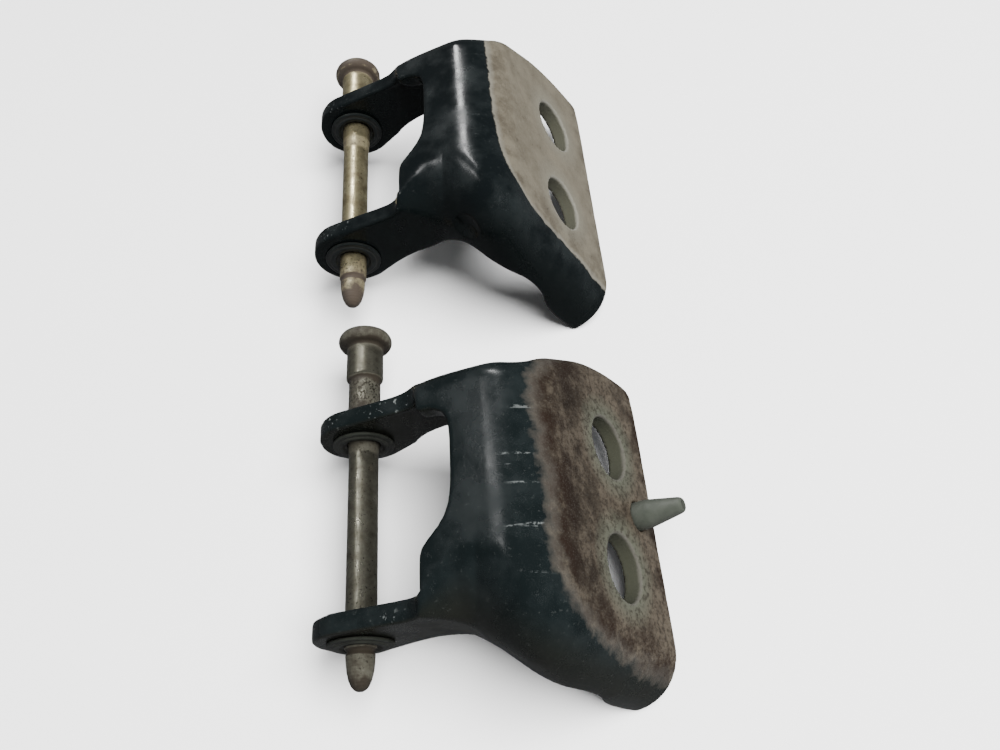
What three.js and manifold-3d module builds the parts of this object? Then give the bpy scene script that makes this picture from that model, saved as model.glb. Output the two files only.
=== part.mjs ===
// A pair of pressed-steel door hinge leaves, each with its headed lift-out pin, lying in line on a flat surface.
// Millimetres, +Z up, both pins along +Y with their heads at +Y. Each leaf is built about its own pin axis:
// X away from the pin, Y along the pin from the outer face of the lower ear, Z up.
import * as THREE from "three";
import { mergeVertices } from "three/addons/utils/BufferGeometryUtils.js";
import Module from "manifold-3d";

// Pressing
const sheet = 5.2; // stock thickness
const webRise = 26.9; // degrees the web climbs away from the pin
const plateFall = 52.7; // degrees the mounting plate falls again
const bendRadius = 16; // outer radius of the bend between web and plate
const earRadius = 11.85; // round eye about the pin
const webStand = 3.7; // the web's face stands this far ahead of the ears' front edge
const plateOffset = 57.66; // pin axis to the plate's mounting face
const plateReach = 57.65; // plate's far edge at its lower corner, measured along the plate
const earGap = 53.5; // lower ear's outer face to the upper ear's inner face
const leafPitch = 116.8; // distance between the two leaves along the pins
const leafShift = -4.05; // sideways shift of the upper leaf

const beyond = 90; // far enough past the pressing for every cutting outline
const apart = new THREE.Vector3(1, 0, 0); // away from the pin

// Bolt holes, dowel and bushes
const holeReach = 32.9;
const holeHeights = [13.05, 45.83];
const holeRadius = 8.77;
const dowelReach = 45.4;
const dowelHeight = 29.8;
const dowelRadius = 3.9;
const dowelLength = 13;
const bushRadius = 6.4;
const bushFlangeRadius = 8.4;
const bushFlange = 1.2;
const fitGap = 0.3; // between pieces that touch in the real hinge

// Pin, measured down from the widest circle of its head
const pinShank = 4;
const pinGrip = 4.43; // thicker length under the collar
const pinCollar = 5.2;
const pinHead = 7.7;
const pinNose = 3.65;
const collarEnd = 12.1;
const gripEnd = 31.3;
const taperEnd = 35.2;
const grooveTop = 87.3;
const pinTip = 97;
const lowerPinHeight = 85.6; // head's widest circle above the lower ear's outer face
const upperPinHeight = 79.1;

const rad = THREE.MathUtils.degToRad;
const Y = new THREE.Vector3(0, 1, 0);
const webAlong = new THREE.Vector3(Math.cos(rad(webRise)), 0, Math.sin(rad(webRise)));
const webOut = new THREE.Vector3(-Math.sin(rad(webRise)), 0, Math.cos(rad(webRise)));
const plateAlong = new THREE.Vector3(Math.cos(rad(plateFall)), 0, -Math.sin(rad(plateFall)));
const plateOut = new THREE.Vector3(Math.sin(rad(plateFall)), 0, Math.cos(rad(plateFall)));
const webFace = earRadius + webStand;

const wasm = await Module();
wasm.setup();

// A closed three.js geometry as a solid for the boolean operations.
function toSolid(geometry) {
  const bare = new THREE.BufferGeometry();
  bare.setAttribute("position", geometry.getAttribute("position"));
  if (geometry.index) bare.setIndex(geometry.index);
  const merged = mergeVertices(bare, 1e-4);
  return new wasm.Manifold(
    new wasm.Mesh({
      numProp: 3,
      vertProperties: merged.attributes.position.array,
      triVerts: new Uint32Array(merged.index.array),
    }),
  );
}

// The solid back as a three.js geometry.
function toGeometry(solid) {
  const m = solid.getMesh();
  const positions = new Float32Array(m.numVert * 3);
  for (let i = 0; i < m.numVert; i++) {
    positions.set(m.vertProperties.subarray(i * m.numProp, i * m.numProp + 3), i * 3);
  }
  const g = new THREE.BufferGeometry();
  g.setAttribute("position", new THREE.BufferAttribute(positions, 3));
  g.setIndex(new THREE.BufferAttribute(new Uint32Array(m.triVerts), 1));
  return g;
}

// Outline points (first axis, second axis) extruded along the third axis between two depths.
function prism(points, along, up, from, to) {
  const out = new THREE.Vector3().crossVectors(along, up);
  const shape = new THREE.Shape(points.map(([x, y]) => new THREE.Vector2(x, y)));
  const g = new THREE.ExtrudeGeometry(shape, { depth: to - from, bevelEnabled: false });
  g.translate(0, 0, from);
  g.applyMatrix4(new THREE.Matrix4().makeBasis(along, up, out));
  return toSolid(g);
}

// An outline in the X-Z plane, extruded along Y between two heights.
function slab(points, low, high) {
  const shape = new THREE.Shape(points.map(([x, z]) => new THREE.Vector2(x, z)));
  const g = new THREE.ExtrudeGeometry(shape, { depth: high - low, bevelEnabled: false });
  g.rotateX(Math.PI / 2);
  g.translate(0, high, 0);
  return toSolid(g);
}

// A cylinder along `axis`, centred at `at`.
function rod(radius, length, at, axis, segments = 40) {
  const g = new THREE.CylinderGeometry(radius, radius, length, segments);
  g.applyQuaternion(new THREE.Quaternion().setFromUnitVectors(Y, axis));
  g.translate(at.x, at.y, at.z);
  return toSolid(g);
}

// Points on an arc in degrees, for use in outlines.
function arc(cx, cy, r, from, to, steps) {
  return Array.from({ length: steps + 1 }, (_, i) => {
    const a = rad(from + ((to - from) * i) / steps);
    return [cx + r * Math.cos(a), cy + r * Math.sin(a)];
  });
}

const onWeb = (u, n) => [webAlong.x * u + webOut.x * n, webAlong.z * u + webOut.z * n];
const onPlate = (s, n) => [plateAlong.x * s + plateOut.x * n, plateAlong.z * s + plateOut.z * n];

// Where the faces of web and plate would meet if the bend were sharp, measured along the web; the bend's centre.
const turn = webRise + plateFall;
const apexWeb = (plateOffset - webFace * Math.cos(rad(turn))) / Math.sin(rad(turn));
const tangent = bendRadius * Math.tan(rad(turn / 2));
const bendCentre = onWeb(apexWeb - tangent, webFace - bendRadius);

// Web, bend and plate in section: one strip of constant thickness.
function stripOutline() {
  const outer = arc(...bendCentre, bendRadius, 90 + webRise, 90 - plateFall, 12);
  const inner = arc(...bendCentre, bendRadius - sheet, 90 - plateFall, 90 + webRise, 12);
  return [
    onWeb(24, webFace),
    ...outer,
    onPlate(plateReach + 1, plateOffset),
    onPlate(plateReach + 1, plateOffset - sheet),
    ...inner,
    onWeb(24, webFace - sheet),
  ];
}

// Lower and upper end of the pressing, seen from above: level at the ears, then swept out over the plate.
const lowerLimit = [
  [-14, 0],
  [23, 0],
  [26.5, -0.9],
  [31, -4.4],
  [35, -7.9],
  [39, -10.8],
  [43, -13],
  [47, -14.7],
  [56, -16.5],
  [66, -17],
  [90, -17],
];
const upperLimit = [
  [-14, earGap + sheet],
  [12, earGap + sheet],
  [17, 61],
  [33, 61.1],
  [41, 60.8],
  [47, 63.5],
  [52.5, 67],
  [58.5, 70.4],
  [64.6, 72.4],
  [71, 73.4],
  [90, 73.8],
];

// The window beside the pin, cut into the web's near edge.
const windowEdge = [
  [14, 14.4],
  [17.2, 14.4],
  [19.6, 16.4],
  [21.6, 19.2],
  [22.9, 23.4],
  [23.1, 28],
  [23.1, 43.6],
  [22.2, 47.3],
  [20, 49.6],
  [17, 50.2],
  [14, 50.2],
];
const planOutline = [
  ...lowerLimit.slice(1).reverse(),
  [14, 0],
  ...windowEdge,
  [14, upperLimit[1][1]],
  ...upperLimit.slice(2),
];

// The plate's far edge with its two rounded corners, in distance down the plate and height.
const plateEdge = [
  [-60, -40],
  [48, -40],
  [51, -17.4],
  [54.2, -15.6],
  [56.3, -12.8],
  [57.4, -9],
  [plateReach, -5],
  [57.15, 0],
  [54.85, 30],
  [53.25, 56],
  [52.3, 64.5],
  [50.8, 69],
  [47.6, 72.4],
  [43, 74.4],
  [39, 78],
  [36, 90],
  [-60, 90],
];

// Ear with its round eye; behind the web it carries on as a stiffening flange round bend and plate.
function earOutline(back) {
  const eye = arc(0, 0, earRadius, 90 + webRise, 296 + webRise, 22);
  return [
    ...eye,
    onWeb(7.9, -9.7),
    onWeb(11.5, -8.3),
    onWeb(15.6, -7.4),
    onWeb(19.5, -6.8),
    onWeb(24, -6.6),
    ...back,
    onPlate(12, plateOffset - sheet / 2),
    ...arc(...bendCentre, bendRadius - sheet / 2, 90 - plateFall, 90 + webRise, 8),
    onWeb(24.5, webFace - 2),
    onWeb(22.6, 14),
    onWeb(21.4, 12.9),
    onWeb(19.6, 12.1),
    onWeb(17.5, earRadius),
  ];
}

const lowerBack = [
  [27.5, 8.4],
  [31, 13],
  [35.5, 15],
  [41, 13.2],
  [48, 10.4],
  onPlate(25, plateOffset - 11.4),
  onPlate(33, plateOffset - 11.4),
  onPlate(40, plateOffset - 13.8),
  onPlate(51, plateOffset - 14.3),
  onPlate(58.5, plateOffset - 13),
  onPlate(59, plateOffset - sheet / 2),
];
const upperBack = [
  [30.5, 7.6],
  [37, 10.4],
  [43, 9.4],
  onPlate(16, plateOffset - 10),
  onPlate(40, plateOffset - 8),
  onPlate(58, plateOffset - 6),
  onPlate(58, plateOffset - sheet / 2),
];

// Ear and flange in one: a band of sheet that follows the pressing's end, cut to its outline.
function flangedEar(limit, inward, back) {
  const inner = limit.map(([x, y]) => [x, y + inward]).reverse();
  const band = prism([...limit, ...inner], apart, Y, -beyond, beyond);
  return band.intersect(slab(earOutline(back), -beyond, beyond));
}

// Bolts and dowel pass square through the plate.
function plateHole(reach, height, radius) {
  const [x, z] = onPlate(reach, plateOffset - sheet / 2);
  return rod(radius, sheet * 4, new THREE.Vector3(x, height, z), plateOut);
}

function bracket(withDowel) {
  const strip = slab(stripOutline(), -beyond, beyond);
  const trimmed = strip.intersect(prism(planOutline, apart, Y, -beyond, beyond));
  let solid = trimmed
    .add(flangedEar(lowerLimit, sheet, lowerBack))
    .add(flangedEar(upperLimit, -sheet, upperBack))
    .intersect(prism(plateEdge, plateAlong, Y, -beyond, beyond));
  for (const y of [sheet / 2, earGap + sheet / 2]) {
    solid = solid.subtract(rod(bushRadius + fitGap, sheet * 2, new THREE.Vector3(0, y, 0), Y, 48));
  }
  for (const height of holeHeights) solid = solid.subtract(plateHole(holeReach, height, holeRadius));
  if (withDowel) solid = solid.subtract(plateHole(dowelReach, dowelHeight, dowelRadius + fitGap));
  return toGeometry(solid);
}

// A solid of revolution about the pin axis from (radius, height) points.
function turned(profile, segments = 48) {
  return new THREE.LatheGeometry(profile.map(([r, y]) => new THREE.Vector2(r, y)), segments);
}

// Flanged bush: its flange lies under the ear, its mouth is relieved round the pin.
function bush(bore, ear) {
  const mouth = ear - fitGap - bushFlange;
  return turned([
    [bore, mouth + 0.9],
    [bore + 1.15, mouth + 0.9],
    [bore + 1.15, mouth],
    [bushFlangeRadius - 0.5, mouth],
    [bushFlangeRadius, mouth + 0.4],
    [bushFlangeRadius, ear - fitGap],
    [bushRadius, ear - fitGap],
    [bushRadius, ear + sheet],
    [bore, ear + sheet],
    [bore, mouth + 0.9],
  ]);
}

// Pin with domed head, collar, thicker grip length, tapered step, groove and bullet nose.
function pin(height) {
  const steps = [
    [0, -pinTip],
    [1.3, -pinTip + 0.25],
    [2.2, -pinTip + 1.1],
    [2.95, -pinTip + 2.7],
    [3.45, -pinTip + 4.9],
    [pinNose, -pinTip + 7],
    [pinNose, -grooveTop - 1.1],
    [3.35, -grooveTop - 1.0],
    [3.35, -grooveTop - 0.2],
    [pinShank, -grooveTop],
    [pinShank, -taperEnd],
    [pinGrip, -gripEnd],
    [pinGrip, -collarEnd - 1.1],
    [pinCollar, -collarEnd],
    [pinCollar, -2],
    [6.6, -1.7],
    [7.4, -0.9],
    [pinHead, 0],
    [7.55, 1.2],
    [6.9, 2.4],
    [5.4, 3.1],
    [3, 3.4],
    [0, 3.5],
  ];
  return turned(steps.map(([r, y]) => [r, y + height]));
}

// Locating dowel: plain in the plate, tapered outside it to a small dished tip.
function dowel() {
  const g = turned([
    [0, -sheet],
    [dowelRadius, -sheet],
    [dowelRadius, 1.2],
    [3.55, 4.2],
    [2.3, dowelLength - 1.1],
    [1.9, dowelLength],
    [1.2, dowelLength],
    [1, dowelLength - 0.6],
    [0, dowelLength - 0.7],
  ]);
  g.applyQuaternion(new THREE.Quaternion().setFromUnitVectors(Y, plateOut));
  const [x, z] = onPlate(dowelReach, plateOffset);
  return g.translate(x, dowelHeight, z);
}

const paints = {
  paint: { color: 0x1d2423, metalness: 0.1, roughness: 0.4 },
  steel: { color: 0x8f8d83, metalness: 0.9, roughness: 0.35 },
  zinc: { color: 0xa59a72, metalness: 0.9, roughness: 0.35 },
  bushing: { color: 0x2b2d29, metalness: 0.6, roughness: 0.5 },
  primer: { color: 0x7d8472, metalness: 0.1, roughness: 0.6 },
};

function piece(name, geometry, paint) {
  const mesh = new THREE.Mesh(geometry, new THREE.MeshStandardMaterial(paints[paint]));
  mesh.name = name;
  return mesh;
}

function leaf(which, pinHeight, pinPaint, withDowel) {
  const group = new THREE.Group();
  group.add(piece(which + "_bracket", bracket(withDowel), "paint"));
  group.add(piece(which + "_bush_bottom", bush(pinShank + 0.1, 0), "bushing"));
  group.add(piece(which + "_bush_top", bush(pinGrip + 0.07, earGap), "bushing"));
  group.add(piece(which + "_pin", pin(pinHeight), pinPaint));
  if (withDowel) group.add(piece(which + "_dowel", dowel(), "primer"));
  return group;
}

const hinge = new THREE.Group();
hinge.name = "door_hinge_pair";
hinge.add(leaf("lower", lowerPinHeight, "steel", true));
const upper = leaf("upper", upperPinHeight, "zinc", false);
upper.position.set(leafShift, leafPitch, 0);
hinge.add(upper);

// Rest the pair on its lowest point, with the origin under the middle of its outline.
hinge.updateMatrixWorld(true);
const bounds = new THREE.Box3().setFromObject(hinge, true);
const middle = bounds.getCenter(new THREE.Vector3());
hinge.position.set(-middle.x, -middle.y, -bounds.min.z);

export default hinge;
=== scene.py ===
"""A pair of worn pressed-steel door hinge leaves with their lift-out pins, on a pale studio floor."""
import math
from itertools import product

import bpy
import numpy as np
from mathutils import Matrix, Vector


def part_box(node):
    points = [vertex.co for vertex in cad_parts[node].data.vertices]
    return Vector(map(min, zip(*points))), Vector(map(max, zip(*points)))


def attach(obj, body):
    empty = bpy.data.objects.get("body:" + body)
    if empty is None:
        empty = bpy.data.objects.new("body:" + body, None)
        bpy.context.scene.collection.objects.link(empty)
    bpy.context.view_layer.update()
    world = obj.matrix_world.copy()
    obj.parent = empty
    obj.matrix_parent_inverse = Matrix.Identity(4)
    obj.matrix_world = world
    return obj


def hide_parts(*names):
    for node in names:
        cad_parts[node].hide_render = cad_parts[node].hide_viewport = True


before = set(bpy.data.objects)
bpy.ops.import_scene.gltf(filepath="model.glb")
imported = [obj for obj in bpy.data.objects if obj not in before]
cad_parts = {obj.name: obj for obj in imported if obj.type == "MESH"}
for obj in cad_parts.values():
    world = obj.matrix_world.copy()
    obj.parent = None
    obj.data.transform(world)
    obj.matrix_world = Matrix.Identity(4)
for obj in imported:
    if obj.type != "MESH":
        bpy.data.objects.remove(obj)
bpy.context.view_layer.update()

# The shapes below are in millimetres, in a leaf's own frame: X away from the pin, Y along it, H up.
MM = 0.001

# Pressing. A face is given by its distance from the pin's axis, a reach by the way down the plate,
# counted from the point nearest that axis.
SHEET = 5.2
WEB_RISE = math.radians(26.9)  # the web climbs away from the pin
PLATE_FALL = math.radians(52.7)  # and past the bend the bolt plate comes down again
BEND_RADIUS = 16.0
LOW_FLANGE_RADIUS = 14.5  # the pressing turns back round its lower and upper ends
HIGH_FLANGE_RADIUS = 6.0
EAR_FOLD_RADIUS = 1.2  # where the ears leave the web, the turn is this tight
EAR_RADIUS = 11.85
WEB_FACE = EAR_RADIUS + 3.7
PLATE_FACE = 57.66
PLATE_REACH = 54.85  # far edge of the plate at half height
UPPER_EAR = 53.5  # underside of the upper ear; the lower ear lies between 0 and SHEET
EAR_TOP = UPPER_EAR + SHEET
EAR_MIDDLE = EAR_TOP / 2
CUT_EDGE = 0.9  # rounding of the sheared edges, then of the edges round bores, holes and dimples
BORE_EDGE = 0.4
HOLE_EDGE = 0.5
DOWEL_HOLE_EDGE = 0.3
DIMPLE_EDGE = 0.25

# Bolt holes, dowel, bushes and pins
HOLE_REACH = 32.9
HOLE_HEIGHTS = (13.05, 45.83)  # along the pin, from the lower ear's outer face
HOLE_RADIUS = 8.77
DOWEL_REACH = 45.4
DOWEL_HEIGHT = 29.8
DOWEL_RADIUS = 3.9
DOWEL_LENGTH = 13.0
DIMPLE_CURVE = 12.9  # radius of the balls that press the dimples
BUSH_RADIUS = 6.4
BUSH_FLANGE_RADIUS = 8.4
BUSH_FLANGE = 1.2
BUSH_BORES = {"bottom": 4.1, "top": 4.5}
FIT_GAP = 0.3  # between the pressing and a bush or the dowel
PIN_HEIGHTS = {"lower": 85.6, "upper": 79.1}  # widest circle of the head above the lower ear's outer face
PIN_SOIL_AND_SHADE = {"lower": (0.6, 0.42), "upper": (0.85, 0.6)}  # dirt on the nose; dirt and painted shade on the dome

# Meshing: cell size, and the box round a leaf.
MESH_STEP = 0.7
MESH_LOW = (-13.2, -19.5, -20)
MESH_HIGH = (84, 76, 41)

web_along = np.array([math.cos(WEB_RISE), math.sin(WEB_RISE)])
web_out = np.array([-math.sin(WEB_RISE), math.cos(WEB_RISE)])
plate_along = np.array([math.cos(PLATE_FALL), -math.sin(PLATE_FALL)])
plate_out = np.array([math.sin(PLATE_FALL), math.cos(PLATE_FALL)])


def on_web(u, n):
    """The point u along the web and n out from the pin's axis, in X and H."""
    return tuple(web_along * u + web_out * n)


def on_plate(s, n):
    """The point s down the plate and n out from the pin's axis, in X and H."""
    return tuple(plate_along * s + plate_out * n)


# ---------------------------------------------------------------- distance fields

def softened(points, times=3, closed=True):
    """The outline with its corners cut again and again, which leaves a smooth curve."""
    p = np.array(points, float)
    for _ in range(times):
        q = np.roll(p, -1, 0)
        cut = np.stack([p * 0.75 + q * 0.25, p * 0.25 + q * 0.75], 1)
        if closed:
            p = cut.reshape(-1, 2)
        else:
            p = np.vstack([p[:1], cut[:-1].reshape(-1, 2), p[-1:]])
    return p


def outline_distance(points, x, y):
    """Distance to a closed outline, negative inside."""
    nearest = np.full(x.shape, np.inf)
    inside = np.zeros(x.shape, bool)
    for (ax, ay), (bx, by) in zip(points, np.roll(points, -1, 0)):
        ex, ey = bx - ax, by - ay
        if math.hypot(ex, ey) < 1e-6:
            continue
        wx, wy = x - ax, y - ay
        t = np.clip((wx * ex + wy * ey) / (ex * ex + ey * ey), 0, 1)
        nearest = np.minimum(nearest, (wx - ex * t) ** 2 + (wy - ey * t) ** 2)
        crosses = (y >= min(ay, by)) & (y < max(ay, by))
        inside ^= crosses & ((ex * wy - ey * wx) * (by - ay) > 0)
    return np.where(inside, -1, 1) * np.sqrt(nearest)


def sampled(points, pitch=0.25, margin=6.0):
    """An outline's distance, worked out once on a fine lattice and read back between its points."""
    low = points.min(0) - margin
    size = np.ceil((points.max(0) + margin - low) / pitch).astype(int) + 1
    lattice = np.meshgrid(*(low[a] + pitch * np.arange(size[a]) for a in (0, 1)), indexing="ij")
    value = outline_distance(points, *lattice)

    def read(x, y):
        i = np.clip((x - low[0]) / pitch, 0, size[0] - 1.001)
        j = np.clip((y - low[1]) / pitch, 0, size[1] - 1.001)
        i0, j0 = i.astype(int), j.astype(int)
        fi, fj = i - i0, j - j0
        near = value[i0, j0] * (1 - fi) + value[i0 + 1, j0] * fi
        far = value[i0, j0 + 1] * (1 - fi) + value[i0 + 1, j0 + 1] * fi
        return near * (1 - fj) + far * fj

    return read


def common(a, b, r):
    """What two fields share, with the edge between them rounded to radius r."""
    return np.minimum(np.maximum(a, b), -r) + np.hypot(np.maximum(a + r, 0), np.maximum(b + r, 0))


def ease(low, high, x):
    """Smooth rise from 0 at low to 1 at high; a fall where low is the larger."""
    t = np.clip((x - low) / (high - low), 0, 1)
    return t * t * (3 - 2 * t)


def arc(cx, cy, r, start, end, steps):
    """Points on a round stretch between two angles in degrees."""
    angles = np.radians(np.linspace(start, end, steps + 1))
    return [(cx + r * math.cos(a), cy + r * math.sin(a)) for a in angles]


# The faces of web and plate, met by the bend: centre of the bend in X and H.
turn = WEB_RISE + PLATE_FALL
apex_web = (PLATE_FACE - WEB_FACE * math.cos(turn)) / math.sin(turn)
tangent = BEND_RADIUS * math.tan(turn / 2)
bend_centre = on_web(apex_web - tangent, WEB_FACE - BEND_RADIUS)

# Lower and upper limit of the pressing along the pin, as curves over X.
lower_limit = softened([
    (10, 0), (25.5, 0), (31, -4.6), (39, -11), (47, -14.9), (56, -16.6), (70, -17), (90, -17),
], closed=False)
upper_limit = softened([
    (0, EAR_TOP), (12, EAR_TOP), (17, 61.2), (33, 61.2), (41, 60.2), (47, 63.5), (52.5, 67),
    (58.5, 70.6), (64.6, 72.6), (71, 73.6), (90, 73.8),
], closed=False)


def ear_outline(back):
    """The ear's round eye and edges, carried on behind the web by the flange's free edge."""
    lean = math.degrees(WEB_RISE)
    eye = arc(0, 0, EAR_RADIUS, 90 + lean, 296 + lean, 24)
    edge = [on_web(7.9, -9.7), on_web(11.5, -8.4), on_web(15.6, -7.5), on_web(19.5, -6.9), on_web(24, -6.6)]
    outside = [on_plate(64, PLATE_FACE + 12), on_plate(0, PLATE_FACE + 14), on_web(24.6, WEB_FACE + 12)]
    fillet = [on_web(24.6, WEB_FACE + 1), on_web(23.9, 14.6), on_web(22.4, 13.0), on_web(20, 12.05),
              on_web(17, EAR_RADIUS), on_web(10, EAR_RADIUS)]
    return sampled(softened(eye + edge + back + outside + fillet, 2))


lower_ear = ear_outline([
    (27, 8), (31, 13.4), (35.5, 16), (41, 13.4), (48, 10.6), on_plate(25, PLATE_FACE - 11.2),
    on_plate(33, PLATE_FACE - 11), on_plate(40, PLATE_FACE - 14.2), on_plate(51, PLATE_FACE - 14.6),
    on_plate(58.5, PLATE_FACE - 13.5), on_plate(60.5, PLATE_FACE - 6), on_plate(64, PLATE_FACE - 3),
])
upper_ear = ear_outline([
    (30.5, 7.6), (37, 10.4), (43, 9.4),
    on_plate(16, PLATE_FACE - 10), on_plate(40, PLATE_FACE - 8),
    on_plate(PLATE_REACH - 4, PLATE_FACE - 6.4), on_plate(64, PLATE_FACE - 5.4),
])

# Centres of the balls whose dimples the upper leaf has, on its lower flange and its upper ear's underside.
DIMPLES = ((26.5, -15.2, 25.0), (16.3, UPPER_EAR - 12.2, 13.5))

# The window beside the pin, on the web: distance along the web, height.
window = sampled(softened([
    (-30, SHEET), (24.6, SHEET), (24.6, SHEET), (24.6, 10), (24.8, 14.6), (27.4, 17.4), (30.2, 20.2),
    (32.2, 23.4), (33.3, 29), (33.4, 36), (33.4, 44), (32.2, 48.4), (28.6, 50.2), (25.6, 50.2),
    (24.2, 51), (24, UPPER_EAR), (24, UPPER_EAR), (-30, UPPER_EAR),
], 2))

# The plate's far edge with its two rounded corners: distance down the plate, height.
plate_edge = sampled(softened([
    (-60, -40), (50, -40), (55, -22), (57.4, -15), (PLATE_REACH + 2.8, -9), (PLATE_REACH + 2.3, 0),
    (PLATE_REACH, 30), (PLATE_REACH - 1.6, 56), (PLATE_REACH - 2.4, 64), (51, 70.6), (46, 73), (40, 75),
    (36, 90), (-60, 90),
]))


def front_face(x, y, h):
    """Distance to the pressing's outer surface, and how far along the web and down the plate a point is."""
    u, n = x * web_along[0] + h * web_along[1], x * web_out[0] + h * web_out[1]
    s, m = x * plate_along[0] + h * plate_along[1], x * plate_out[0] + h * plate_out[1]
    dx, dh = x - bend_centre[0], h - bend_centre[1]
    past_web = dx * web_along[0] + dh * web_along[1] > 0
    before_plate = dx * plate_along[0] + dh * plate_along[1] < 0
    flat = np.maximum(n - WEB_FACE, m - PLATE_FACE)
    front = np.where(past_web & before_plate, np.hypot(dx, dh) - BEND_RADIUS, flat)
    low = np.interp(x, *lower_limit.T)
    high = np.interp(x, *upper_limit.T)
    slope_low = np.interp(x + 1, *lower_limit.T) - low
    slope_high = np.interp(x + 1, *upper_limit.T) - high
    ends = np.maximum((low - y) / np.hypot(1, slope_low), (y - high) / np.hypot(1, slope_high))
    flange = np.where(y < EAR_MIDDLE, LOW_FLANGE_RADIUS, HIGH_FLANGE_RADIUS)
    opening = np.where(y < EAR_MIDDLE, ease(20, 34, u), ease(17.5, 25.5, u))
    radius = EAR_FOLD_RADIUS + (flange - EAR_FOLD_RADIUS) * opening
    return common(front, ends, radius), (u, s)


def bracket_field(x, y, h, with_dowel):
    """Distance in mm to the surface of a pressed leaf, negative inside the steel."""
    skin, (u, s) = front_face(x, y, h)
    shell = np.maximum(skin, -skin - SHEET)
    trim = np.where(y < EAR_MIDDLE, lower_ear(x, h), upper_ear(x, h))
    shell = common(shell, trim, CUT_EDGE)
    shell = common(shell, plate_edge(s, y), CUT_EDGE)
    shell = common(shell, -window(u, y), CUT_EDGE)
    shell = common(shell, BUSH_RADIUS + FIT_GAP - np.hypot(x, h), BORE_EDGE)
    for height in HOLE_HEIGHTS:
        shell = common(shell, HOLE_RADIUS - np.hypot(s - HOLE_REACH, y - height), HOLE_EDGE)
    if with_dowel:
        hole = DOWEL_RADIUS + FIT_GAP - np.hypot(s - DOWEL_REACH, y - DOWEL_HEIGHT)
        return common(shell, hole, DOWEL_HOLE_EDGE)
    for cx, cy, ch in DIMPLES:
        reach = np.sqrt((x - cx) ** 2 + (y - cy) ** 2 + (h - ch) ** 2)
        shell = common(shell, DIMPLE_CURVE - reach, DIMPLE_EDGE)
    return shell


def skin_mesh(field, low, high, step):
    """Vertices and quads on the field's zero level: one vertex in each cell that it crosses."""
    axes = [np.arange(a, b + step, step) for a, b in zip(low, high)]
    inside = field(*np.meshgrid(*axes, indexing="ij")) < 0
    cells = tuple(n - 1 for n in inside.shape)
    filled = sum(inside[i:i + cells[0], j:j + cells[1], k:k + cells[2]].astype(np.int8)
                 for i, j, k in product((0, 1), repeat=3))
    found = np.argwhere((filled > 0) & (filled < 8))
    index = np.full(cells, -1)
    index[tuple(found.T)] = np.arange(len(found))
    points = np.array(low) + step * (found + 0.5)
    quads = []
    for a in range(3):
        b, c = (a + 1) % 3, (a + 2) % 3
        near = np.take(inside, range(inside.shape[a] - 1), a)
        far = np.take(inside, range(1, inside.shape[a]), a)
        edges = np.argwhere(near != far)
        flipped = far[tuple(edges.T)]
        ring = []
        for db, dc in ((-1, -1), (0, -1), (0, 0), (-1, 0)):
            cell = edges.copy()
            cell[:, b] += db
            cell[:, c] += dc
            ring.append(index[tuple(cell.T)])
        quad = np.stack(ring, 1)
        quad[flipped] = quad[flipped][:, ::-1]
        quads.append(quad)
    return points, np.vstack(quads)


def value_and_slope(field, points, reach):
    """A field's value at each point, and how fast it rises there along the three axes."""
    value = field(*points.T)
    return value, np.stack([field(*(points + d).T) - value for d in np.eye(3) * reach], 1) / reach


def onto_surface(field, points, step):
    """The points, pulled along the field's slope towards its zero level."""
    value, slope = value_and_slope(field, points, 0.02)
    pull = value / np.maximum((slope ** 2).sum(1), 0.2)
    return points - np.clip(pull, -step, step)[:, None] * slope


def settle(field, points, quads, step):
    """Puts every vertex on the surface, then evens the mesh out and does so again, three times."""
    start, end = np.vstack([quads[:, (i, (i + 1) % 4)] for i in range(4)]).T
    degree = np.bincount(start, minlength=len(points))[:, None]
    for lap in range(4):
        if lap > 0:
            total = np.stack([np.bincount(start, points[end, a], len(points)) for a in range(3)], 1)
            points = points * 0.5 + total / degree * 0.5
        for _ in range(3):
            points = onto_surface(field, points, step)
    return points


def make_object(name, points, faces, origin, marks=()):
    """A smooth mesh object from leaf-frame millimetres, with its wear marks as point attributes."""
    mesh = bpy.data.meshes.new(name)
    mesh.from_pydata((points * MM + np.array(origin)).tolist(), [], [list(map(int, face)) for face in faces])
    mesh.update()
    mesh.polygons.foreach_set("use_smooth", [True] * len(mesh.polygons))
    for mark, values in dict(marks).items():
        mesh.attributes.new(mark, "FLOAT", "POINT").data.foreach_set("value", np.asarray(values, np.float32))
    obj = bpy.data.objects.new(name, mesh)
    bpy.context.scene.collection.objects.link(obj)
    return obj


def leaf_origin(leaf):
    """Where the leaf's own frame lies: on the pin's axis, level with the lower ear's outer face."""
    low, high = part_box(leaf + "_pin")
    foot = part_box(leaf + "_bush_bottom")[0].y + (FIT_GAP + BUSH_FLANGE) * MM
    return Vector(((low.x + high.x) / 2, foot, (low.z + high.z) / 2))


# ---------------------------------------------------------------- procedural materials

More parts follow.
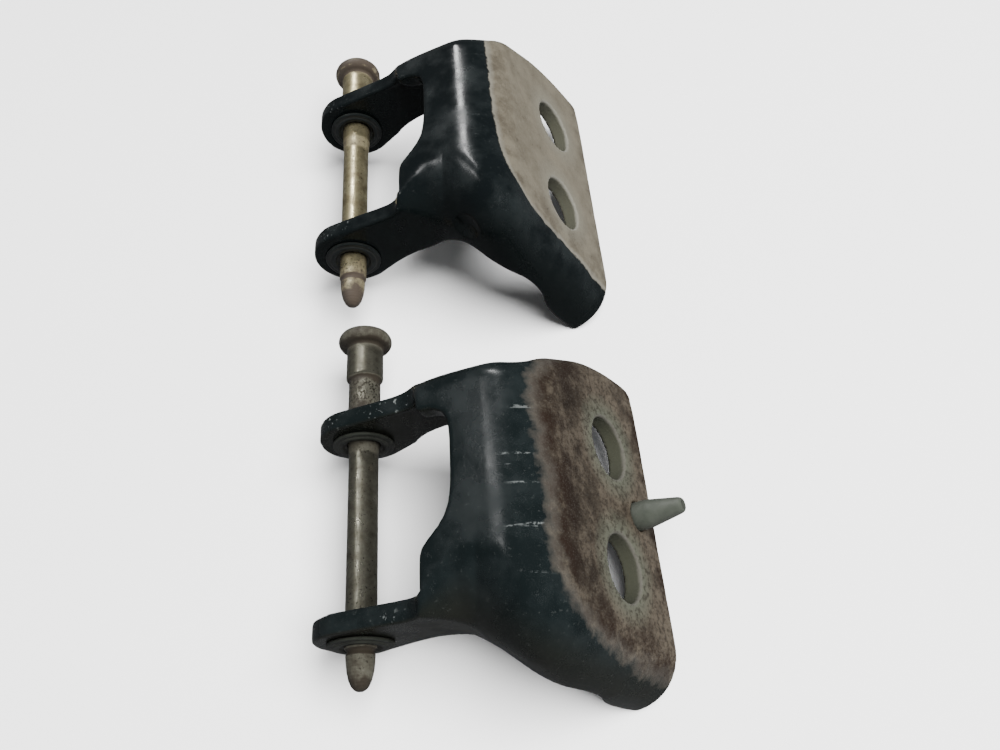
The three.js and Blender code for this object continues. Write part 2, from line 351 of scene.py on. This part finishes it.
class Surface:
    """A Principled material put together from short calls; noise runs in object coordinates."""

    def __init__(self, name):
        self.material = bpy.data.materials.new(name)
        self.material.use_nodes = True
        self.tree = self.material.node_tree
        self.shader = self.tree.nodes["Principled BSDF"]
        self.place = self.add("ShaderNodeTexCoord").outputs["Object"]

    def add(self, kind, inputs=(), **settings):
        node = self.tree.nodes.new(kind)
        for key, value in settings.items():
            setattr(node, key, value)
        for key, value in dict(inputs).items():
            self.put(node, key, value)
        return node

    def put(self, node, key, value):
        if isinstance(value, bpy.types.NodeSocket):
            self.tree.links.new(value, node.inputs[key])
        else:
            node.inputs[key].default_value = value

    def mark(self, name):
        return self.add("ShaderNodeAttribute", attribute_name=name).outputs["Fac"]

    def noise(self, scale, detail=3.0, rough=0.55, stretch=(1, 1, 1), seed=0.0):
        place = self.add("ShaderNodeMapping", {"Vector": self.place, "Scale": stretch,
                                               "Location": (seed, seed * 0.7, seed * 1.3)})
        node = self.add("ShaderNodeTexNoise", {"Vector": place.outputs[0], "Scale": scale, "Detail": detail,
                                               "Roughness": rough})
        return node.outputs["Fac"]

    def span(self, value, low, high, to_low=0.0, to_high=1.0):
        node = self.add("ShaderNodeMapRange", {"Value": value, "From Min": low, "From Max": high,
                                               "To Min": to_low, "To Max": to_high})
        return node.outputs["Result"]

    def combine(self, operation, a, b):
        return self.add("ShaderNodeMath", {0: a, 1: b}, operation=operation).outputs[0]

    def product(self, a, b):
        return self.combine("MULTIPLY", a, b)

    def color(self, factor, a, b):
        node = self.add("ShaderNodeMix", data_type="RGBA")
        self.put(node, 0, factor)
        self.put(node, 6, a if isinstance(a, bpy.types.NodeSocket) else (*a, 1))
        self.put(node, 7, b if isinstance(b, bpy.types.NodeSocket) else (*b, 1))
        return node.outputs[2]

    def blend(self, factor, a, b):
        node = self.add("ShaderNodeMix", data_type="FLOAT")
        self.put(node, 0, factor)
        self.put(node, 2, a)
        self.put(node, 3, b)
        return node.outputs[0]

    def finish(self, color, roughness, metallic=0.0, height=None, depth=0.1, shine=0.5):
        self.put(self.shader, "Base Color", color)
        self.put(self.shader, "Roughness", roughness)
        self.put(self.shader, "Metallic", metallic)
        self.put(self.shader, "Specular IOR Level", shine)
        if height is not None:
            bump = self.add("ShaderNodeBump", {"Height": height, "Strength": 1.0, "Distance": depth * MM})
            self.put(self.shader, "Normal", bump.outputs[0])
        return self.material


# Paint, worn face and grime of each leaf; "under" is painted shade, olive on the lower leaf, for the faces
# turned toward the pin's foot. "soft" and "ragged" shape the paint's border, in mm.
LOWER_LOOK = {
    "seed": 0.0,
    "paint": (0.0028, 0.0044, 0.0046), "haze": (0.0105, 0.0132, 0.0136), "under": (0.0065, 0.007, 0.0055),
    "gloss": 0.22, "dust": 0.3, "scratched": 0.5,
    "bare": (0.044, 0.036, 0.026), "bare_dark": (0.0075, 0.0055, 0.004), "mottle": 1.0,
    "ragged": 8.0, "soft": 2.6, "rim": (0.055, 0.052, 0.045), "rim_width": 6.0,
    "halo": (0.042, 0.045, 0.033), "bore": (0.030, 0.031, 0.022),
}
UPPER_LOOK = {
    "seed": 0.31,
    "paint": (0.002, 0.003, 0.0033), "haze": (0.0125, 0.015, 0.0152), "under": (0.002, 0.003, 0.003),
    "gloss": 0.18, "dust": 0.15, "scratched": 0.1,
    "bare": (0.074, 0.066, 0.049), "bare_dark": (0.047, 0.041, 0.030), "mottle": 0.3,
    "ragged": 3.0, "soft": 0.5, "rim": (0.115, 0.112, 0.095), "rim_width": 2.2,
    "halo": (0.078, 0.073, 0.057), "bore": (0.045, 0.045, 0.033),
}
SCRATCH_COLOR = (0.13, 0.14, 0.137)
DUST_COLOR = (0.045, 0.048, 0.045)
RUST_COLOR = (0.009, 0.0052, 0.0035)
PIT_COLOR = (0.010, 0.008, 0.006)
PIN_PIT_COLOR = (0.02, 0.017, 0.012)
BARE_ROUGHNESS = 0.72


def paint_color(m, look, coarse, fine, grit):
    """Paint: hazy in patches, with painted shade on the faces turned toward the pin's foot, peppered with
    dust, scratched and nicked.
    """
    seed = look["seed"]
    color = m.color(m.span(coarse, 0.42, 0.72, 0, 0.55), look["paint"], look["haze"])
    # painted shade: faces turned toward the pin's foot take the "under" tone
    color = m.color(m.product(m.mark("under"), m.span(coarse, 0.3, 0.6, 0.65, 1.0)), color, look["under"])
    specks = m.product(m.span(fine, 0.60, 0.72), m.span(grit, 0.45, 0.6))
    color = m.color(m.product(specks, look["dust"]), color, DUST_COLOR)
    # thin pale scratches across the bend, and nicks along the sheared edges
    across = m.noise(420, 2, 0.5, (0.10, 1.6, 0.10), seed + 5)
    patch = m.noise(60, 1, 0.5, seed=seed + 7)
    scratch = m.product(m.span(across, 0.63, 0.68), m.span(fine, 0.45, 0.55))
    scratch = m.product(scratch, m.span(patch, 0.50, 0.58))
    scratch = m.product(m.product(scratch, m.mark("bend")), look["scratched"])
    nick = m.product(m.product(m.span(fine, 0.64, 0.69), m.span(patch, 0.48, 0.6)), m.mark("edge"))
    return m.color(m.combine("MAXIMUM", scratch, m.product(nick, 0.8)), color, SCRATCH_COLOR)


def bare_color(m, look, fine, grit, rag, border):
    """Bolt face: bare metal and primer, mottled with rust, paler round the holes and beside the paint."""
    seed, mottle = look["seed"], look["mottle"]
    stain = m.noise(120, 6, 0.68, seed=seed + 13)
    color = m.color(m.span(stain, 0.40, 0.68, 0, 0.8), look["bare"], look["bare_dark"])
    grime = m.product(m.mark("grime"), m.span(stain, 0.38, 0.58, 0.4, 1))
    color = m.color(m.product(grime, mottle), color, look["bare_dark"])
    halo = m.span(m.combine("ADD", m.mark("bolt"), m.product(rag, 0.3)), 7.0, 1.0)
    color = m.color(m.product(halo, 0.85), color, look["halo"])
    grain = m.span(m.noise(700, 5, 0.75, seed=seed + 17), 0.49, 0.58)
    color = m.color(m.product(m.product(grain, mottle), 0.65), color, look["bare_dark"])
    band = m.combine("MAXIMUM", m.span(m.mark("worn"), 15, 3), m.mark("rim_side"))
    rusty = m.span(m.combine("ADD", stain, m.product(m.span(fine, 0.3, 0.7), 0.14)), 0.50, 0.66)
    color = m.color(m.product(m.product(rusty, band), mottle), color, RUST_COLOR)
    rim = m.product(m.span(border, look["rim_width"], 0.4), m.span(border, 0.0, 0.4))
    color = m.color(m.product(rim, 0.55), color, look["rim"])
    pits = m.product(m.span(fine, 0.63, 0.7), m.span(stain, 0.5, 0.6))
    color = m.color(m.product(pits, 0.7), color, PIT_COLOR)
    return m.color(m.product(m.span(grit, 0.55, 0.72), 0.3), color, look["rim"])


def leaf_material(name, look):
    """Black paint, worn through to bare metal on the bolt face, with primer in the bolt holes."""
    m = Surface(name)
    seed = look["seed"]
    coarse = m.noise(95, 4, 0.6, seed=seed)
    fine = m.noise(900, 3, 0.6, seed=seed + 2)
    grit = m.noise(2600, 2, 0.6, seed=seed + 3)
    rag = m.product(m.combine("SUBTRACT", m.noise(230, 5, 0.65, seed=seed + 11), 0.5), look["ragged"])
    border = m.combine("ADD", m.mark("worn"), rag)
    worn = m.span(border, 0.0, look["soft"])
    paint = paint_color(m, look, coarse, fine, grit)
    color = m.color(worn, paint, bare_color(m, look, fine, grit, rag, border))
    color = m.color(m.mark("bore"), color, look["bore"])
    color = m.color(m.product(m.mark("lip"), 0.8), color, look["rim"])
    gloss = m.blend(m.span(coarse, 0.35, 0.7), look["gloss"] - 0.05, look["gloss"] + 0.16)
    rough = m.blend(m.combine("MAXIMUM", worn, m.mark("bore")), gloss, BARE_ROUGHNESS)
    # the paint's own thickness, a little waviness, and a rougher bare face
    height = m.combine("ADD", m.product(fine, m.blend(worn, 0.10, 0.55)), m.product(worn, -1.1))
    height = m.combine("ADD", height, m.product(coarse, 0.9))
    return m.finish(color, rough, height=height, depth=0.08, shine=0.2)


def steel_material(name, base, shade, rust, seed):
    """Plated steel, darkened with dirt and with painted shade where the turned piece's own marks say so."""
    m = Surface(name)
    blot = m.noise(260, 5, 0.65, seed=seed)
    fine = m.noise(1500, 3, 0.6, seed=seed + 2)
    drawn = m.noise(900, 2, 0.5, (1, 0.06, 1), seed + 4)
    color = m.color(m.span(blot, 0.38, 0.68), base, shade)
    pits = m.span(m.combine("ADD", fine, m.product(m.mark("pitted"), 0.16)), 0.66, 0.74)
    color = m.color(m.product(pits, 0.85), color, PIN_PIT_COLOR)
    # dirt and painted shade from the turned piece's marks; less of it on the head's lighter ring, a painted
    # highlight
    soil_and_shade = m.span(m.combine("ADD", m.product(blot, 0.8), m.mark("soil_and_shade")), 0.55, 0.95)
    color = m.color(soil_and_shade, color, rust)
    rough = m.blend(m.span(blot, 0.35, 0.65), 0.27, 0.46)
    rough = m.combine("ADD", rough, m.product(soil_and_shade, 0.25))
    metal = m.blend(soil_and_shade, 0.92, 0.25)
    wave = m.add("ShaderNodeTexWave", {"Vector": m.place, "Scale": 420.0, "Distortion": 1.5, "Detail": 2.0},
                 bands_direction="Y")
    rings = m.product(wave.outputs["Fac"], m.mark("rings"))
    height = m.combine("ADD", m.product(drawn, 0.25), m.product(rings, 0.8))
    height = m.combine("ADD", m.product(fine, 0.35), height)
    return m.finish(color, rough, metal, m.combine("SUBTRACT", height, m.product(pits, 0.8)), 0.05)


def coated_material(name, base, shade, rough):
    """Flat old coating with dirt in its pores."""
    m = Surface(name)
    blot = m.noise(300, 5, 0.65)
    fine = m.noise(1800, 3, 0.6, seed=3)
    color = m.color(m.span(blot, 0.4, 0.7), base, shade)
    color = m.color(m.product(m.mark("soil_and_shade"), 0.85), color, (0.012, 0.012, 0.010))
    color = m.color(m.span(fine, 0.66, 0.74, 0, 0.5), color, (0.02, 0.018, 0.014))
    rough = m.blend(blot, rough - 0.08, rough + 0.12)
    return m.finish(color, rough, height=m.combine("ADD", fine, blot), depth=0.05)


# ---------------------------------------------------------------- brackets

def worn_outline(border):
    """The bare part of the bolt face: its painted border, then round outside the plate's far edge."""
    return softened(border + [(92, border[-1][1]), (92, 90), (border[0][0], 90)], 2)


# Distance round the bend from the web's end, and height.
LOWER_WORN = worn_outline([
    (28, 76), (22, 67), (13, 60), (10, 52), (11, 42), (12.3, 33), (13, 22), (12.5, 11), (15, 3.5), (17, 0),
    (21, -3.6), (27, -7.1), (36.4, -9.4), (50.5, -11.8), (66, -13.5),
])
UPPER_WORN = worn_outline([
    (12.1, 62), (12.1, 44), (12.3, 34), (13, 21.6), (14, 13.2), (17.1, 4.8), (22, 0.6), (30, -3.2), (38, -4),
    (48, -5.1), (59, -6.3), (70, -8),
])


def round_bend(x, h):
    """Distance along the outer surface, across the bend, from where the web ends."""
    dx, dh = x - bend_centre[0], h - bend_centre[1]
    along_web = dx * web_along[0] + dh * web_along[1]
    angle = np.arctan2(along_web, dx * web_out[0] + dh * web_out[1])
    on_the_plate = BEND_RADIUS * turn + dx * plate_along[0] + dh * plate_along[1]
    return np.where(angle < 0, along_web, np.where(angle > turn, on_the_plate, BEND_RADIUS * angle))


def wear_marks(field, points, worn_points):
    """Where a leaf is worn, soiled or scratched, and where it gets painted shade: "worn" and "bolt" in mm,
    the rest from 0 to 1.
    """
    x, y, h = points.T
    front, (_, s) = front_face(x, y, h)
    _, facing = value_and_slope(field, points, 0.05)
    bend = round_bend(x, h)
    outside = ease(-2.6, -1.2, front)
    bolt = np.min([np.hypot(s - HOLE_REACH, y - height) for height in HOLE_HEIGHTS], 0) - HOLE_RADIUS
    ear = np.where(y < EAR_MIDDLE, lower_ear(x, h), upper_ear(x, h))
    far = plate_edge(s, y)
    return {
        "worn": np.where(outside > 0.5, -outline_distance(worn_points, bend, y), -40.0),
        "grime": ease(42, 27, bend) * ease(-10, 6, y) * ease(90, 60, y),
        "rim_side": ease(-6.5, -2, far) * outside,
        "bolt": np.maximum(bolt, 0) + 40 * (1 - outside),
        "bore": ease(0.7, 0.3, bolt) * ease(-0.5, -0.9, front),
        "lip": ease(0.6, 0.2, bolt) * ease(-1.0, -0.6, front),
        "bend": ease(3, 6, bend) * ease(16, 12, bend) * ease(2, 12, y) * ease(60, 40, y) * outside,
        "edge": ease(-0.7, 0.0, np.maximum(ear, far)),
        # "under" is painted shade on the faces turned toward the pin's foot
        "under": ease(0.35, 0.95, -facing[:, 1]),
    }


def bracket(leaf, with_dowel, worn_points, look):
    """A pressed leaf: ears, web, bend, bolt plate and the flanges turned back at both ends."""
    def field(x, y, h):
        return bracket_field(x, y, h, with_dowel)
    points, quads = skin_mesh(field, MESH_LOW, MESH_HIGH, MESH_STEP)
    points = settle(field, points, quads, MESH_STEP)
    marks = wear_marks(field, points, worn_points)
    obj = make_object(leaf + "_leaf", points, quads, leaf_origin(leaf), marks)
    obj.data.materials.append(leaf_material(leaf + "_paint", look))
    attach(obj, "leaves")
    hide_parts(leaf + "_bracket")


# ---------------------------------------------------------------- turned pieces

def finely(profile, pitch):
    """The profile with points added, none further apart than the pitch; marks are carried along."""
    rows = [profile[0]]
    for a, b in zip(profile, profile[1:]):
        steps = max(1, math.ceil(math.hypot(b[0] - a[0], b[1] - a[1]) / pitch))
        rows += [[p + (q - p) * k / steps for p, q in zip(a, b)] for k in range(1, steps + 1)]
    return rows


def turned(name, profile, origin, along, marks, segments=72):
    """A lathe piece from rows of radius, distance along the axis and marks.

    The profile starts and ends on the axis, or else it closes upon itself.
    """
    rows = np.array(finely(profile, 0.5))
    loop = rows[0][0] > 1e-6
    if loop:
        rows = rows[:-1]
    side = np.cross(along, (0.0, 0.0, 1.0) if abs(along[2]) < 0.9 else (1.0, 0.0, 0.0))
    side /= np.linalg.norm(side)
    other = np.cross(along, side)
    angles = np.arange(segments) * 2 * math.pi / segments
    ring = np.cos(angles)[:, None] * side + np.sin(angles)[:, None] * other
    points, index, values = [], [], []
    for row in rows:
        solo = row[0] < 1e-6
        index.append([len(points)] * segments if solo else [len(points) + k for k in range(segments)])
        centre = row[1] * np.array(along)
        points += [centre] if solo else list(centre + row[0] * ring)
        values += [row[2:]] * (1 if solo else segments)
    faces = []
    pairs = list(zip(index, index[1:])) + ([(index[-1], index[0])] if loop else [])
    for a, b in pairs:
        for k in range(segments):
            n = (k + 1) % segments
            faces.append(list(dict.fromkeys((a[k], b[k], b[n], a[n]))))
    return make_object(name, np.array(points), faces, origin, dict(zip(marks, np.array(values).T)))


def pin(leaf, material):
    """Headed pin, from nose to dome: radius, distance below the head, dirt and painted shade, pits, turned
    rings.
    """
    nose, dome = PIN_SOIL_AND_SHADE[leaf]
    rows = [
        # nose
        (0.0, 97.0, nose, 0.6, 1), (0.9, 96.92, nose, 0.6, 1), (1.6, 96.5, nose, 0.5, 1),
        (2.2, 95.8, nose, 0.4, 1), (2.85, 94.4, nose * 0.8, 0.3, 1), (3.3, 92.6, nose * 0.6, 0.4, 0.8),
        (3.55, 90.6, nose * 0.5, 0.5, 0.5), (3.66, 88.9, nose * 0.5, 0.7, 0.3), (3.66, 88.5, 1.0, 0.7, 0),
        # groove
        (3.36, 88.2, 1.0, 0.5, 0), (3.36, 87.6, 1.0, 0.5, 0), (3.7, 87.3, 0.7, 0.6, 0),
        # shank
        (3.98, 87.0, 0.4, 0.6, 0), (4.0, 85.2, 0.25, 0.8, 0), (4.0, 80, 0.1, 0.5, 0),
        (4.0, 60, 0, 0.2, 0), (4.0, 44, 0.05, 0.3, 0), (4.0, 36.5, 0.1, 0.5, 0),
        # its thicker stretch
        (4.04, 35.4, 0.3, 0.5, 0), (4.36, 32.0, 0.3, 0.4, 0), (4.43, 31.3, 0.1, 0.2, 0),
        (4.43, 24, 0.2, 0.6, 0), (4.43, 22.6, 0.5, 1.0, 0), (4.43, 19, 0.25, 1.0, 0),
        (4.43, 15, 0.3, 1.1, 0), (4.43, 13.5, 0.5, 1.1, 0),
        # collar
        (4.45, 12.95, 1.0, 0.6, 0), (4.85, 12.5, 0.5, 0.4, 0), (5.14, 12.1, 0.1, 0.2, 0),
        (5.2, 11.7, 0.05, 0.3, 0), (5.2, 10.9, 0, 0.2, 0), (5.2, 5.0, 0, 0.2, 0), (5.2, 3.0, 0.25, 0.3, 0),
        # head: its dome darkened with dirt and painted shade, painted shade under its rim, and a painted
        # highlight as the lighter ring on the dome's shoulder
        (5.3, 2.3, 0.8, 0.4, 0), (5.7, 1.95, 0.9, 0.4, 0), (6.5, 1.7, 0.7, 0.3, 0), (7.1, 1.25, 0.5, 0.3, 0),
        (7.5, 0.65, dome, 0.4, 0), (7.68, 0.0, dome, 0.4, 0), (7.66, -0.7, dome, 0.4, 0),
        (7.42, -1.4, dome, 0.4, 0), (6.95, -2.05, 0.2, 0.4, 0), (6.1, -2.6, dome, 0.4, 0),
        (5.0, -3.0, dome, 0.4, 0), (3.2, -3.3, dome, 0.5, 0), (1.4, -3.46, dome, 0.5, 0),
        (0.0, -3.5, dome, 0.5, 0),
    ]
    profile = [(radius, PIN_HEIGHTS[leaf] - down, *soiling) for radius, down, *soiling in rows]
    obj = turned(leaf + "_lift_pin", profile, leaf_origin(leaf), (0.0, 1.0, 0.0), ("soil_and_shade", "pitted", "rings"))
    obj.data.materials.append(material)
    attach(obj, leaf + "_pin")
    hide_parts(leaf + "_pin")


def bush(leaf, place, ear, material):
    """Flanged bush: a stepped ring under the ear, relieved round the pin, its sleeve through the ear."""
    bore = BUSH_BORES[place]
    mouth = ear - FIT_GAP - BUSH_FLANGE
    back = ear - FIT_GAP
    end = ear + SHEET
    rows = [
        # funnel round the pin
        (bore, mouth + 0.9, 1), (bore + 0.7, mouth + 0.85, 1), (bore + 1.05, mouth + 0.6, 1),
        (bore + 1.25, mouth + 0.1, 0.4), (bore + 1.5, mouth, 0.1),
        # stepped face of the flange
        (6.75, mouth + 0.02, 0), (6.95, mouth + 0.12, 0.1), (7.05, mouth + 0.42, 0.7),
        (7.3, mouth + 0.46, 0.5), (7.95, mouth + 0.48, 0), (8.25, mouth + 0.56, 0),
        (BUSH_FLANGE_RADIUS, mouth + 0.8, 0.1), (BUSH_FLANGE_RADIUS, back, 0.8),
        # sleeve
        (BUSH_RADIUS, back, 1), (BUSH_RADIUS, end - 0.3, 0.3), (BUSH_RADIUS - 0.3, end, 0.2),
        (bore + 0.3, end, 0.5), (bore, end - 0.3, 1), (bore, mouth + 0.9, 1),
    ]
    obj = turned(leaf + "_ring_" + place, rows, leaf_origin(leaf), (0.0, 1.0, 0.0), ("soil_and_shade",))
    obj.data.materials.append(material)
    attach(obj, "leaves")
    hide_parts(leaf + "_bush_" + place)


def dowel(material):
    """Locating dowel: its length in the plate, then a long taper to a blunt dished tip."""
    rows = [
        # in the plate
        (0.0, -SHEET, 0), (DOWEL_RADIUS - 0.3, -SHEET, 0), (DOWEL_RADIUS, -SHEET + 0.3, 0.2),
        (DOWEL_RADIUS, -0.3, 0.5), (DOWEL_RADIUS, 0.2, 0.25),
        # taper
        (3.86, 2.2, 0), (3.7, 3.9, 0), (3.5, 5.0, 0), (2.3, 11.6, 0), (2.12, 12.3, 0), (1.86, 12.75, 0.1),
        # tip, dished in the middle
        (1.55, DOWEL_LENGTH, 0.1), (1.2, 12.85, 0.5), (0.9, 12.5, 0.7), (0.4, 12.38, 0.6), (0.0, 12.36, 0.6),
    ]
    foot = on_plate(DOWEL_REACH, PLATE_FACE)
    origin = leaf_origin("lower") + Vector((foot[0], DOWEL_HEIGHT, foot[1])) * MM
    obj = turned("locating_dowel", rows, origin, (plate_out[0], 0.0, plate_out[1]), ("soil_and_shade",))
    obj.data.materials.append(material)
    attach(obj, "leaves")
    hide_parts("lower_dowel")


bracket("lower", True, LOWER_WORN, LOWER_LOOK)
bracket("upper", False, UPPER_WORN, UPPER_LOOK)
pin("lower", steel_material(
    "nickel", base=(0.17, 0.165, 0.13), shade=(0.085, 0.08, 0.06), rust=(0.021, 0.0175, 0.013), seed=0.2))
pin("upper", steel_material(
    "zinc", base=(0.46, 0.41, 0.25), shade=(0.20, 0.17, 0.10), rust=(0.043, 0.034, 0.026), seed=0.9))
bush_coats = {
    "lower": coated_material(
        "olive_bush", base=(0.013, 0.0145, 0.0115), shade=(0.006, 0.007, 0.006), rough=0.5),
    "upper": coated_material(
        "dark_bush", base=(0.003, 0.0042, 0.0042), shade=(0.006, 0.0075, 0.0072), rough=0.36),
}
for leaf_name, coat in bush_coats.items():
    bush(leaf_name, "bottom", 0, coat)
    bush(leaf_name, "top", UPPER_EAR, coat)
dowel(coated_material("primer", base=(0.040, 0.044, 0.036), shade=(0.030, 0.034, 0.027), rough=0.55))


# ---------------------------------------------------------------- studio

def floor_material():
    """Almost white, faintly cloudy."""
    m = Surface("floor")
    cloud = m.noise(3, 2, 0.5)
    color = m.color(m.span(cloud, 0.3, 0.7), (0.86, 0.86, 0.86), (0.89, 0.89, 0.885))
    return m.finish(color, 0.75)


def softbox(name, place, size, power, gleam, aim=(0, 0, 0.02)):
    """An area light that either lights surfaces or, as a gleam, only shows in reflections."""
    light = bpy.data.lights.new(name, "AREA")
    light.shape = "RECTANGLE"
    light.size, light.size_y = size
    light.energy = power
    obj = bpy.data.objects.new(name, light)
    obj.location = place
    obj.visible_diffuse = not gleam
    obj.visible_glossy = gleam
    obj.rotation_euler = (Vector(aim) - obj.location).to_track_quat("-Z", "Y").to_euler()
    bpy.context.scene.collection.objects.link(obj)


def studio():
    """Pale floor, dim even light, a soft top light, and two strips that only show as streaks on the bends."""
    world = bpy.data.worlds.new("studio")
    bpy.context.scene.world = world
    world.use_nodes = True
    background = world.node_tree.nodes["Background"]
    background.inputs["Color"].default_value = (0.95, 0.97, 1, 1)
    background.inputs["Strength"].default_value = 0.18
    bpy.ops.mesh.primitive_plane_add(size=6)
    floor = bpy.context.object
    floor.name = "floor"
    floor.data.materials.append(floor_material())
    floor.visible_glossy = False  # keeps the undersides as dark as they look under a soft overhead light
    softbox("near streak", (-0.52, 0.30, 0.75), (0.05, 0.36), 1.8, gleam=True)
    softbox("far streak", (-0.30, 0.76, 0.75), (0.05, 0.45), 7, gleam=True)
    softbox("top", (0.35, -0.1, 1.2), (1.0, 1.0), 80, gleam=False)


def camera():
    """Looks down on the pair from its near end, a little turned."""
    data = bpy.data.cameras.new("camera")
    data.lens, data.sensor_width = 31.576, 36
    cam = bpy.data.objects.new("camera", data)
    cam.location = (-0.013506, -0.140462, 0.238710)
    cam.rotation_euler = [math.radians(angle) for angle in (29.317, -2.627, -3.519)]
    bpy.context.scene.collection.objects.link(cam)
    bpy.context.scene.camera = cam


studio()
camera()
